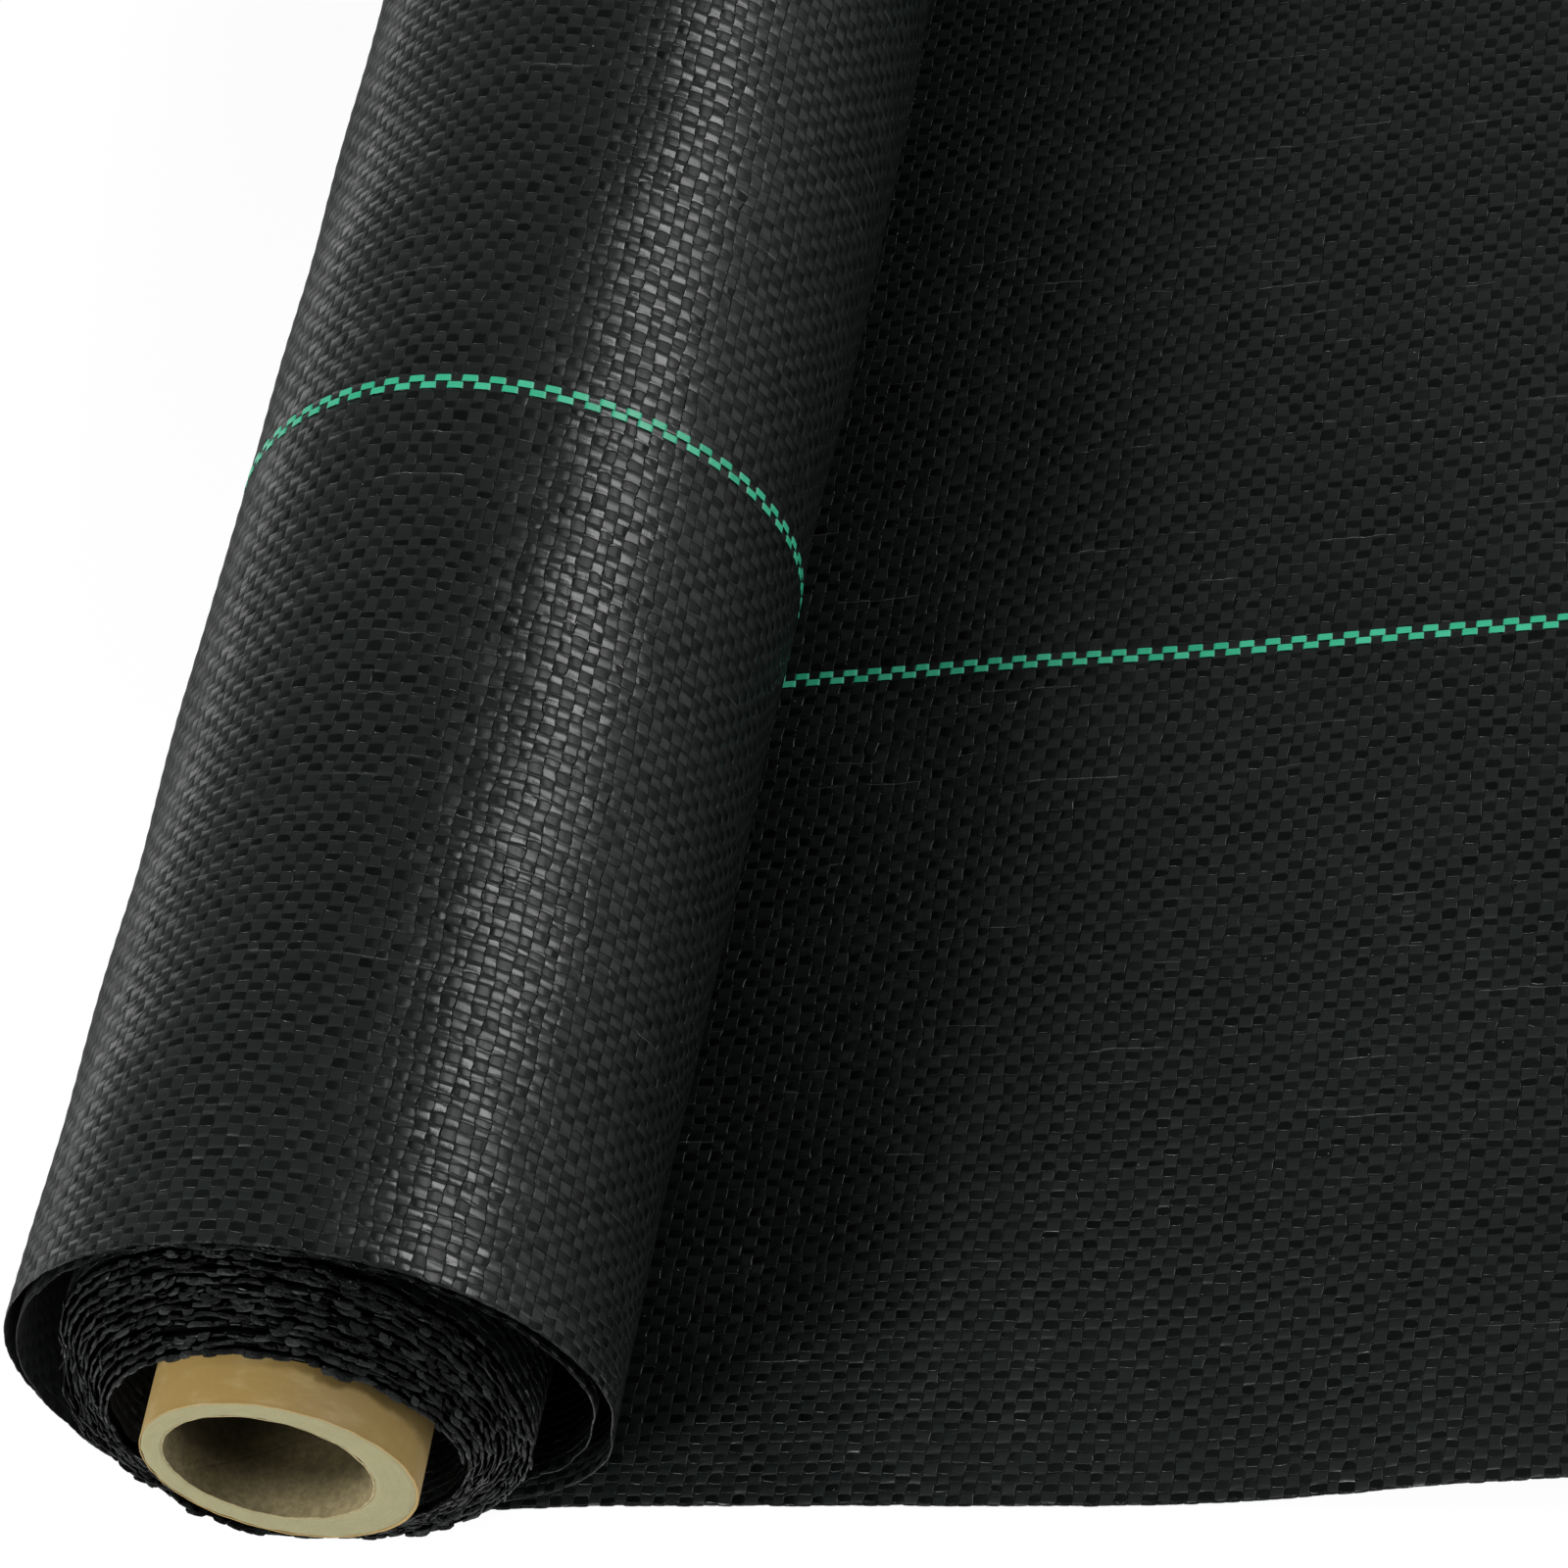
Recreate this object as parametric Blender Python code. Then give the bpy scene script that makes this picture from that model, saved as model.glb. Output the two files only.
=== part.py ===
# Roll of woven weed control fabric: a cardboard core, a wound pack with loose outer turns, and a
# free stretch that lies flat beside the roll. Metres, +Z up. The roll's axis runs along Y, the end
# with the core standing out is at -Y, and the free stretch lies towards +X on the ground.

import math

import bmesh
import bpy

# The cloth
fabric_width = 1.0
fabric_thickness = 0.0005
free_length = 0.34
warp_tape_pitch = 0.00224

# The cardboard core
core_length = 1.02
bore_radius = 0.025
core_wall = 0.0083
ply_thickness = 0.0005
ply_clearance = 0.0003
core_stand_out = 0.0135

# The wound pack, which hangs on the core: clear space in its hole and between its turns
hang_clearance = 0.0003
hole_side_space = 0.0125
hole_foot_space = 0.018
crest_gap = 0.0015
side_gap = 0.0006
foot_gap = 0.0010
telescope = 0.0125

# The loose outer turns: how far each stands off the one inside it
inner_loose_right_space = 0.0135
outer_loose_right_space = 0.0038
inner_loose_left_space = 0.0150
outer_loose_left_space = 0.0010
inner_loose_foot_space = 0.0115
outer_loose_foot_space = 0.0075
ground_contact_depth = 0.0008
tail_drift = 0.0080

# The marker lines, two green warp tapes each
marker_spacing = 0.25
marker_tape_thickness = 0.0002
marker_tape_gap = 0.0003
marker_seat_clearance = 0.0003

# The fold line where the free stretch starts to lift, as a share of the roll's half width
fold_gap = 0.0003
fold_line_share = 0.8

# Shapes of curves and ends, as shares of a turn or as powers
telescope_power = 1.15
drift_power = 2
marker_start_share = 0.60
marker_end_share = 0.42
station_spacing_share = 0.3

# Counts
tight_turns = 12
loose_turns = 2
points_per_turn = 24
core_sides = 48
tail_points = 4
marker_lines = 3
tapes_per_line = 2

# Values worked out from those above
half_thickness = fabric_thickness / 2
core_radius = bore_radius + core_wall
hole_half_width = core_radius + hole_side_space + half_thickness
crest_pitch = fabric_thickness + crest_gap
side_pitch = fabric_thickness + side_gap
foot_pitch = fabric_thickness + foot_gap
loop_count = tight_turns + loose_turns

# Heights of the cloth's middle, counted from the core's axis
first_crest = core_radius + hang_clearance + half_thickness
first_foot = -(core_radius + hole_foot_space + half_thickness)
pack_middle = (first_crest + first_foot) / 2
inner_loose_foot = first_foot - (tight_turns - 1) * foot_pitch - inner_loose_foot_space
outer_loose_foot = inner_loose_foot - fabric_thickness - outer_loose_foot_space
ground_level = outer_loose_foot - foot_pitch
last_crest = first_crest + (loop_count - 1) * crest_pitch
loose_middle = (last_crest + ground_level) / 2
axis_height = half_thickness - ground_level

# Half widths of the loose turns, from the roll's middle
pack_left = hole_half_width + (tight_turns - 1) * side_pitch
pack_right = hole_half_width + (tight_turns - 1.5) * side_pitch
inner_loose_left = pack_left + fabric_thickness + inner_loose_left_space
outer_loose_left = inner_loose_left + fabric_thickness + outer_loose_left_space
inner_loose_right = pack_right + fabric_thickness + inner_loose_right_space
outer_loose_right = inner_loose_right + fabric_thickness + outer_loose_right_space

fold_line_x = fold_line_share * outer_loose_right
fold_line_z = fabric_thickness
free_end_x = fold_line_x + fold_gap + free_length

# Where things lie along the axis, counted from the last turn's crest edge
core_front = -(telescope + core_stand_out)
tail_front = tail_drift

# The marker tapes lie this far out from the middle of the cloth, and are the widest things on the roll
marker_seat = half_thickness + marker_seat_clearance
marker_top = marker_seat + marker_tape_thickness

# The origin is at the middle of the whole part's box, on the ground
centre_x = (free_end_x - outer_loose_left - marker_top) / 2
centre_y = (core_front + tail_front + fabric_width) / 2


def make_material(name, colour, roughness):
    material = bpy.data.materials.new(name)
    material.use_nodes = True
    shader = material.node_tree.nodes["Principled BSDF"]
    shader.inputs["Base Color"].default_value = (*colour, 1.0)
    shader.inputs["Roughness"].default_value = roughness
    shader.inputs["Metallic"].default_value = 0.0
    return material


def add_object(name, vertices, faces, material, origin):
    """Makes one closed body whose vertices are given in the roll's frame."""
    mesh = bpy.data.meshes.new(name)
    ox, oy, oz = origin
    mesh.from_pydata([(x - ox, y - oy, z - oz) for x, y, z in vertices], [], faces)
    body = bmesh.new()
    body.from_mesh(mesh)
    bmesh.ops.recalc_face_normals(body, faces=body.faces)
    body.to_mesh(mesh)
    body.free()
    mesh.shade_smooth()
    mesh.set_sharp_from_angle(angle=math.radians(32))
    mesh.materials.append(material)
    thing = bpy.data.objects.new(name, mesh)
    thing.location = (ox - centre_x, oy - centre_y, oz)
    bpy.context.collection.objects.link(thing)
    return thing


def loop_reach(loop, half_turn):
    """Half width and foot of a loop on its left (0) or right (1) side, and the height of its middle."""
    if half_turn == 0:
        if loop < tight_turns:
            width, middle = hole_half_width + loop * side_pitch, pack_middle
        elif loop == tight_turns:
            width, middle = inner_loose_left, loose_middle
        else:
            width, middle = outer_loose_left, loose_middle
    else:
        if loop < tight_turns - 1:
            width, middle = hole_half_width + (loop + 0.5) * side_pitch, pack_middle
        elif loop == tight_turns - 1:
            width, middle = inner_loose_right, loose_middle
        else:
            width, middle = outer_loose_right, loose_middle
    if loop < tight_turns - 1:
        foot = first_foot - loop * foot_pitch
    elif loop == tight_turns - 1:
        foot = inner_loose_foot
    elif loop == tight_turns:
        foot = outer_loose_foot
    else:
        foot = ground_level - ground_contact_depth
    return width, middle, foot


def wound_point(turns):
    """A point on the middle of the cloth, so many turns after the first crest, and its way along."""
    loop = int(math.floor(turns + 1e-9))
    part = turns - loop
    half_turn = 0 if part < 0.5 else 1
    width, middle, foot = loop_reach(loop, half_turn)
    angle = math.pi / 2 + 2 * math.pi * part
    rise = math.sin(angle)
    if rise >= 0:
        crest = first_crest + (loop + half_turn) * crest_pitch
        height = (crest - middle) * rise
    else:
        height = (middle - foot) * rise
    return width * math.cos(angle), axis_height + middle + height


def near_edge(turns):
    """How far along the axis the cloth's near edge lies after so many turns."""
    last_crest_turn = loop_count - 1
    if turns <= tight_turns:
        return -telescope * (1 - turns / tight_turns) ** telescope_power
    if turns <= last_crest_turn:
        return 0.0
    return tail_drift * ((turns - last_crest_turn) / (tail_turns - last_crest_turn)) ** drift_power


def touch_down():
    """How many turns after the first crest the last loop meets the ground, on its left side."""
    foot = ground_level - ground_contact_depth
    angle = math.pi + math.asin((loose_middle - ground_level) / (loose_middle - foot))
    return loop_count - 1 + (angle - math.pi / 2) / (2 * math.pi)


landing_turns = touch_down()
landing_x = wound_point(landing_turns)[0]
tail_turns = landing_turns + (fold_line_x - landing_x) / (2 * math.pi * outer_loose_right)


def winding_stations():
    """The cloth's middle line from its start on the core to the fold line, as (x, z, near edge)."""
    stations = []
    last_step = int(math.floor(landing_turns * points_per_turn - station_spacing_share))
    for step in range(last_step + 1):
        turns = step / points_per_turn
        x, z = wound_point(turns)
        stations.append((x, z, near_edge(turns)))
    tail_end = fold_line_x - fold_gap / 2
    for step in range(tail_points + 1):
        share = step / tail_points
        turns = landing_turns + (tail_turns - landing_turns) * share
        x = landing_x + (tail_end - landing_x) * share
        stations.append((x, half_thickness, near_edge(turns)))
    return stations


def across(points, index):
    """The unit direction square to the line at a point, and its stretch at the corner."""
    before = points[max(index - 1, 0)]
    here = points[index]
    after = points[min(index + 1, len(points) - 1)]
    ways = []
    for start, end in ((before, here), (here, after)):
        dx, dz = end[0] - start[0], end[1] - start[1]
        length = math.hypot(dx, dz)
        if length > 0:
            ways.append((dz / length, -dx / length))
    nx = sum(way[0] for way in ways)
    nz = sum(way[1] for way in ways)
    size = math.hypot(nx, nz)
    nx, nz = nx / size, nz / size
    stretch = 1 / (nx * ways[0][0] + nz * ways[0][1])
    return nx * stretch, nz * stretch


def band(points, inner_offset, outer_offset, near, far):
    """A closed band along a line of (x, z) points. Offsets count outwards; near and far are lists."""
    vertices = []
    for index, point in enumerate(points):
        nx, nz = across(points, index)
        for offset, y in ((outer_offset, near[index]), (inner_offset, near[index]),
                          (inner_offset, far[index]), (outer_offset, far[index])):
            vertices.append((point[0] + nx * offset, y, point[1] + nz * offset))
    faces = [(0, 1, 2, 3)]
    for index in range(len(points) - 1):
        base = 4 * index
        for corner in range(4):
            follower = (corner + 1) % 4
            faces.append((base + corner, base + follower, base + 4 + follower, base + 4 + corner))
    last = 4 * (len(points) - 1)
    faces.append((last + 3, last + 2, last + 1, last))
    return vertices, faces


def least_self_gap(stations):
    """The least clear space between two turns, measured on points along the faceted line."""
    samples = []
    run = 0.0
    for start, end in zip(stations, stations[1:]):
        length = math.hypot(end[0] - start[0], end[1] - start[1])
        pieces = max(1, int(length / (4 * fabric_thickness)))
        for piece in range(pieces):
            share = piece / pieces
            samples.append((start[0] + (end[0] - start[0]) * share,
                            start[1] + (end[1] - start[1]) * share, run + length * share))
        run += length
    cell = 4 * fabric_thickness
    grid = {}
    for sample in samples:
        key = (int(sample[0] // cell), int(sample[1] // cell))
        grid.setdefault(key, []).append(sample)
    apart = 2 * core_radius
    least = run
    for (column, row), group in grid.items():
        others = []
        for i in (-1, 0, 1):
            for j in (-1, 0, 1):
                others.extend(grid.get((column + i, row + j), []))
        for one in group:
            for other in others:
                if abs(one[2] - other[2]) > apart:
                    least = min(least, math.hypot(one[0] - other[0], one[1] - other[1]))
    return least - fabric_thickness


def tube(name, inner_radius, outer_radius, material):
    """A tube round the core's axis, as long as the core."""
    vertices = []
    for y in (core_front, core_front + core_length):
        for radius in (outer_radius, inner_radius):
            for side in range(core_sides):
                angle = 2 * math.pi * side / core_sides
                vertices.append((radius * math.sin(angle), y, axis_height + radius * math.cos(angle)))
    rings = [0, core_sides, 3 * core_sides, 2 * core_sides]
    faces = []
    for start, end in zip(rings, rings[1:] + rings[:1]):
        for side in range(core_sides):
            follower = (side + 1) % core_sides
            faces.append((start + side, start + follower, end + follower, end + side))
    return add_object(name, vertices, faces, material, (0, core_front, axis_height))


def make_core(materials):
    """Three glued layers with a hair of clearance between them."""
    inner_ply_radius = bore_radius + ply_thickness
    outer_ply_inside = core_radius - ply_thickness
    tube("core_inner_ply", bore_radius, inner_ply_radius, materials["inner_ply"])
    tube("core_body", inner_ply_radius + ply_clearance, outer_ply_inside - ply_clearance,
         materials["greyboard"])
    tube("core_outer_ply", outer_ply_inside, core_radius, materials["kraft"])


def make_winding(stations, material):
    points = [(x, z) for x, z, _ in stations]
    near = [y for _, _, y in stations]
    far = [y + fabric_width for y in near]
    vertices, faces = band(points, -half_thickness, half_thickness, near, far)
    return add_object("wound_fabric", vertices, faces, material, (0, 0, 0))


def make_free_sheet(material):
    start = fold_line_x + fold_gap / 2
    points = [(start, half_thickness), (free_end_x, half_thickness)]
    near = [tail_front, tail_front]
    far = [tail_front + fabric_width, tail_front + fabric_width]
    vertices, faces = band(points, -half_thickness, half_thickness, near, far)
    return add_object("free_sheet", vertices, faces, material, (fold_line_x, 0, fold_line_z))


def make_marker_tapes(stations, material):
    """Green tapes on the outside of the last full turn and on top of the free stretch."""
    first = (loop_count - 2) * points_per_turn + int(points_per_turn * marker_start_share)
    last = (loop_count - 1) * points_per_turn + int(points_per_turn * marker_end_share)
    line = stations[first:last + 1]
    points = [(x, z) for x, z, _ in line]
    start = fold_line_x + fold_gap / 2
    flat = [(start, half_thickness), (free_end_x, half_thickness)]
    tape_width = warp_tape_pitch - marker_tape_gap
    for line_index in range(marker_lines):
        for tape_index in range(tapes_per_line):
            from_edge = marker_spacing * (line_index + 1)
            from_edge += (tape_index - tapes_per_line / 2) * warp_tape_pitch + marker_tape_gap / 2
            label = f"line{line_index + 1}_tape{tape_index + 1}"
            near = [y + from_edge for _, _, y in line]
            far = [y + tape_width for y in near]
            vertices, faces = band(points, marker_seat, marker_top, near, far)
            add_object("roll_marker_" + label, vertices, faces, material, (0, 0, 0))
            near = [tail_front + from_edge] * 2
            far = [y + tape_width for y in near]
            vertices, faces = band(flat, -marker_top, -marker_seat, near, far)
            add_object("sheet_marker_" + label, vertices, faces, material,
                       (fold_line_x, 0, fold_line_z))


def main():
    for thing in list(bpy.data.objects):
        bpy.data.objects.remove(thing, do_unlink=True)
    materials = {
        "fabric": make_material("woven_black", (0.018, 0.020, 0.020), 0.5),
        "marker": make_material("green_tape", (0.05, 0.52, 0.27), 0.4),
        "kraft": make_material("kraft_paper", (0.48, 0.33, 0.13), 0.75),
        "greyboard": make_material("grey_board", (0.40, 0.34, 0.20), 0.9),
        "inner_ply": make_material("inner_paper", (0.16, 0.12, 0.06), 0.9),
    }
    stations = winding_stations()
    make_core(materials)
    make_winding(stations, materials["fabric"])
    make_free_sheet(materials["fabric"])
    make_marker_tapes(stations, materials["marker"])
    print("least gap between turns, mm:", round(least_self_gap(stations) * 1000, 3))
    print("roll height, mm:", round((axis_height + last_crest + half_thickness) * 1000, 2))


main()
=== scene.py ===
import math

import bpy
import numpy as np
from mathutils import Matrix, Vector


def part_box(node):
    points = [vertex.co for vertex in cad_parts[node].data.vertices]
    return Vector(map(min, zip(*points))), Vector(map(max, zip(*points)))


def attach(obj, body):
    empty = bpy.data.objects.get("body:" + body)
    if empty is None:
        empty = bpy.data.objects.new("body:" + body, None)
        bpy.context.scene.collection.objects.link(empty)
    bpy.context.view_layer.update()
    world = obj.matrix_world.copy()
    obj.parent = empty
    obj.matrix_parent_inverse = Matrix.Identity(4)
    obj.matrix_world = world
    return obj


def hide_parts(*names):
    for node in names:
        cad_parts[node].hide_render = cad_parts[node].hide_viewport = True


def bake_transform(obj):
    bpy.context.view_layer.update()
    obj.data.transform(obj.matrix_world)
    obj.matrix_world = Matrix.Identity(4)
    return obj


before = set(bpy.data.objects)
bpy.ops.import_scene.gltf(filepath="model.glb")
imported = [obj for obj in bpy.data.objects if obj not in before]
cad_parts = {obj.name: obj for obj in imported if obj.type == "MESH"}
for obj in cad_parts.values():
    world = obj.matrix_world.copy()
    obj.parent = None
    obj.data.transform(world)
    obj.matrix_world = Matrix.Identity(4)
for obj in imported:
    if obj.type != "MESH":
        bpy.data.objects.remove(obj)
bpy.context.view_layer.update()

mm = 0.001
edgeBehindCore = 26 * mm

# The frame gives the roll's axis and the line where the free stretch starts to lift
boardLow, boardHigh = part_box("core_body")
sheetLow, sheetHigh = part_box("free_sheet")
axisX = (boardLow.x + boardHigh.x) / 2
axisZ = (boardLow.z + boardHigh.z) / 2
edgeY = boardLow.y + edgeBehindCore
print("frame loaded, roll axis at", round(axisX, 4), round(axisZ, 4))

# Camera and light

shot = {
    "place": (0.43874, -1.0333, 1.0358),
    "turn": 35.69,
    "tilt": 42.395,
    "roll": -32.637,
    "lens": 120.17,
    "film": 36.0,
}


def placeCamera():
    data = bpy.data.cameras.new("photoCamera")
    data.lens = shot["lens"]
    data.sensor_width = shot["film"]
    data.clip_end = 100
    seen = bpy.data.objects.new("photoCamera", data)
    seen.matrix_world = (
        Matrix.Translation(shot["place"])
        @ Matrix.Rotation(math.radians(shot["turn"]), 4, "Z")
        @ Matrix.Rotation(math.radians(shot["tilt"]), 4, "X")
        @ Matrix.Rotation(math.radians(shot["roll"]), 4, "Z")
    )
    bpy.context.collection.objects.link(seen)
    bpy.context.scene.camera = seen


studio = {
    "skyColour": (0.95, 1.0, 0.99),
    "skyStrength": 0.28,
    "keyLight": {"from": (0.70, 0.26, 0.46), "distance": 3.4, "size": (2.6, 1.1), "power": 102},
    "frontLight": {"from": (-0.36, -0.80, 0.52), "distance": 2.6, "size": (1.0, 1.0), "power": 86},
    "floorColour": (0.93, 0.93, 0.93),
    "floorGlow": 0.86,
    "floorSize": 60,
}


def softLight(name):
    light = studio[name]
    data = bpy.data.lights.new(name, "AREA")
    data.shape = "RECTANGLE"
    data.size, data.size_y = light["size"]
    data.energy = light["power"]
    lamp = bpy.data.objects.new(name, data)
    away = Vector(light["from"]).normalized()
    lamp.location = Vector((axisX, 0, 0)) + away * light["distance"]
    lamp.rotation_euler = away.to_track_quat("Z", "Y").to_euler()
    bpy.context.collection.objects.link(lamp)


def lightStudio():
    softLight("keyLight")
    softLight("frontLight")
    sky = bpy.data.worlds.new("studioSky")
    sky.use_nodes = True
    glow = sky.node_tree.nodes["Background"]
    glow.inputs["Color"].default_value = (*studio["skyColour"], 1)
    glow.inputs["Strength"].default_value = studio["skyStrength"]
    bpy.context.scene.world = sky
    bpy.context.scene.view_settings.view_transform = "Standard"


# Shader maths

class Wire:
    def __init__(self, paint, socket):
        self.paint = paint
        self.socket = socket

    def math(self, operation, *others):
        return self.paint.add("Math", {"operation": operation}, [self, *others])

    def __add__(self, other):
        return self.math("ADD", other)

    __radd__ = __add__

    def __mul__(self, other):
        return self.math("MULTIPLY", other)

    __rmul__ = __mul__

    def __sub__(self, other):
        return self.math("SUBTRACT", other)

    def __rsub__(self, other):
        return self.paint.add("Math", {"operation": "SUBTRACT"}, [other, self])

    def __truediv__(self, other):
        return self.math("DIVIDE", other)

    def __pow__(self, other):
        return self.math("POWER", other)

    def __abs__(self):
        return self.math("ABSOLUTE")

    def whole(self):
        return self.math("FLOOR")

    def part(self):
        return self.math("FRACT")

    def above(self, limit):
        return self.math("GREATER_THAN", limit)

    def mixed(self, other, share):
        return self + (other - self) * share

    def ramp(self, low, high, lowValue=0, highValue=1, kind="SMOOTHSTEP"):
        return self.paint.add("MapRange", {"interpolation_type": kind},
                              {0: self, 1: low, 2: high, 3: lowValue, 4: highValue})


class Paint:
    def __init__(self, name):
        self.material = bpy.data.materials.new(name)
        self.material.use_nodes = True
        self.tree = self.material.node_tree
        self.shader = self.tree.nodes["Principled BSDF"]

    def add(self, kind, settings=None, sockets=(), output=0):
        node = self.tree.nodes.new("ShaderNode" + kind)
        for name, value in (settings or {}).items():
            setattr(node, name, value)
        pairs = sockets.items() if isinstance(sockets, dict) else enumerate(sockets)
        for key, value in pairs:
            self.feed(node.inputs[key], value)
        return Wire(self, node.outputs[output])

    def feed(self, socket, value):
        if isinstance(value, Wire):
            self.tree.links.new(value.socket, socket)
        elif isinstance(value, (tuple, list)) and len(value) == 3 and len(socket.default_value) == 4:
            socket.default_value = (*value, 1)
        else:
            socket.default_value = value

    def set(self, **values):
        for name, value in values.items():
            label = {"colour": "Base Color", "roughness": "Roughness", "metallic": "Metallic",
                     "normal": "Normal", "specular": "Specular IOR Level"}[name]
            self.feed(self.shader.inputs[label], value)
        return self.material

    def parts(self, wire, kind="XYZ"):
        split = self.add("Separate" + kind, None, [wire]).socket.node
        return [Wire(self, socket) for socket in split.outputs]

    def blendColour(self, share, low, high):
        return self.add("Mix", {"data_type": "RGBA"}, {0: share, 6: low, 7: high}, 2)

    def vector(self, x, y, z=0.0):
        return self.add("CombineXYZ", None, [x, y, z])

    def noise(self, vector, scale=1.0, detail=2.0, roughness=0.5):
        return self.add("TexNoise", {"noise_dimensions": "3D"},
                        {"Vector": vector, "Scale": scale, "Detail": detail, "Roughness": roughness})

    def draw(self, x, y):
        # Three random numbers for each whole pair
        return self.parts(self.add("TexWhiteNoise", {"noise_dimensions": "2D"},
                                   {"Vector": self.vector(x, y)}, 1), "Color")

    def specks(self, vector, share, size):
        # Dots at a small share of the cells of a random pattern
        cells = self.add("TexVoronoi", {"voronoi_dimensions": "3D"}, {"Vector": vector, "Scale": 1.0})
        pick = self.parts(Wire(self, cells.socket.node.outputs["Color"]), "Color")[0]
        return pick.above(1 - share) * cells.ramp(size * 0.3, size, 1, 0)

    def bump(self, height, distance, strength=1.0):
        return self.add("Bump", None, {"Height": height, "Distance": distance, "Strength": strength})


# The cloth: one sheet that is wound fourteen times and then lies flat

cloth = {
    "width": 1.0,
    "thickness": 0.30 * mm,
    "weftPitch": 3.55 * mm,
    "edgeWarpPitch": 2.8 * mm,
    "middleWarpPitch": 3.42 * mm,
    "denseTo": 70 * mm,
    "looseFrom": 260 * mm,
    "lineSpacing": 250 * mm,
    "lines": 3,
    "greenPitch": 2.24 * mm,
    "weftCrown": 0.17 * mm,
    "warpCrown": 0.04 * mm,
    "restHeight": 0.42 * mm,
}
weftPitch = cloth["weftPitch"]


def smooth(value, low, high):
    share = np.clip((value - low) / (high - low), 0, 1)
    return share * share * (3 - 2 * share)


def warpBoundaries():
    # The tapes lie closer at the selvedges, and each marker line is a pair of narrow tapes
    dense = np.linspace(0, cloth["width"], 4001)
    fromEdge = np.minimum(dense, cloth["width"] - dense)
    share = smooth(fromEdge, cloth["denseTo"], cloth["looseFrom"])
    pitch = cloth["edgeWarpPitch"] + (cloth["middleWarpPitch"] - cloth["edgeWarpPitch"]) * share
    count = np.concatenate([[0], np.cumsum(np.diff(dense) / pitch[1:])])
    bounds, greens = [0.0], []
    for line in range(1, cloth["lines"] + 2):
        last = line > cloth["lines"]
        stop = cloth["width"] if last else line * cloth["lineSpacing"] - cloth["greenPitch"]
        first, final = np.interp([bounds[-1], stop], dense, count)
        tapes = round(final - first)
        bounds.extend(np.interp(np.linspace(first, final, tapes + 1)[1:], count, dense))
        if not last:
            greens.extend([len(bounds) - 1, len(bounds)])
            bounds.extend([stop + cloth["greenPitch"], stop + 2 * cloth["greenPitch"]])
    return np.array(bounds), greens


warpBounds, greenNumbers = warpBoundaries()
warpCentres = (warpBounds[:-1] + warpBounds[1:]) / 2


def warpCount(v):
    return np.interp(v, warpBounds, np.arange(len(warpBounds)))


winding = {
    "startTurn": -0.3,
    "tightTurns": 12,
    "holeHalfWidth": 46.05 * mm,
    "firstCrest": 33.85 * mm,
    "firstFoot": -51.55 * mm,
    "crestPitch": 2.0 * mm,
    "sidePitch": 1.1 * mm,
    "footPitch": 1.5 * mm,
    "looseLeft": (73.65 * mm, 75.15 * mm),
    "looseRight": (71.6 * mm, 75.9 * mm),
    "innerFoot": -79.55 * mm,
    "outerFoot": -87.55 * mm,
    "ground": -89.05 * mm,
    "groundDepth": 0.8 * mm,
    "stepsPerTurn": 480,
    "flatSteps": 700,
}


def loopReach(loop, onRight):
    w = winding
    tight = w["tightTurns"]
    lastCrest = w["firstCrest"] + (tight + 1) * w["crestPitch"]
    if loop < tight - (1 if onRight else 0):
        width = w["holeHalfWidth"] + (loop + (0.5 if onRight else 0)) * w["sidePitch"]
        middle = (w["firstCrest"] + w["firstFoot"]) / 2
    else:
        width = w["looseRight"][loop > tight - 1] if onRight else w["looseLeft"][loop > tight]
        middle = (lastCrest + w["ground"]) / 2
    feet = {tight - 1: w["innerFoot"], tight: w["outerFoot"], tight + 1: w["ground"] - w["groundDepth"]}
    foot = feet.get(loop, w["firstFoot"] - loop * w["footPitch"])
    crest = w["firstCrest"] + (loop + (1 if onRight else 0)) * w["crestPitch"]
    return width, middle, foot, crest


def windingPoint(turns):
    loop = math.floor(turns + 1e-9)
    share = turns - loop
    width, middle, foot, crest = loopReach(loop, share >= 0.5)
    angle = math.pi / 2 + 2 * math.pi * share
    rise = math.sin(angle)
    height = (crest - middle) * rise if rise >= 0 else (middle - foot) * rise
    return width * math.cos(angle), axisZ + middle + height


def makeClothLine():
    # Rows of distance along the cloth, x from the axis, height and turns
    w = winding
    step = 1 / w["stepsPerTurn"]
    landing = w["tightTurns"] + 1.0
    while windingPoint(landing)[1] > cloth["restHeight"]:
        landing += step
    landingX = windingPoint(landing)[0]
    turns = np.arange(w["startTurn"], landing, step)
    points = [windingPoint(turn) for turn in turns]
    flat = np.linspace(landingX, sheetHigh.x - axisX, w["flatSteps"])
    points.extend((x, cloth["restHeight"]) for x in flat)
    turns = np.append(turns, landing + (flat - landingX) / (2 * math.pi * w["looseRight"][1]))
    x, z = np.array(points).T
    way = np.concatenate([[0], np.cumsum(np.hypot(np.diff(x), np.diff(z)))])
    way[1:] += np.arange(1, len(way)) * 1e-9
    return way, x, z, turns, landing


lineWay, lineX, lineZ, lineTurns, landingTurns = makeClothLine()
lineSlopeX, lineSlopeZ = np.gradient(lineX, lineWay), np.gradient(lineZ, lineWay)
clothEnd = lineWay[-1]
tailStart = float(np.interp(landingTurns, lineTurns, lineWay))
print("cloth length", round(clothEnd, 3), "m, wound part", round(tailStart, 3), "m,",
      len(warpCentres), "warp tapes")


def wayAtTurn(turns):
    return float(np.interp(turns, lineTurns, lineWay))


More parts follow.
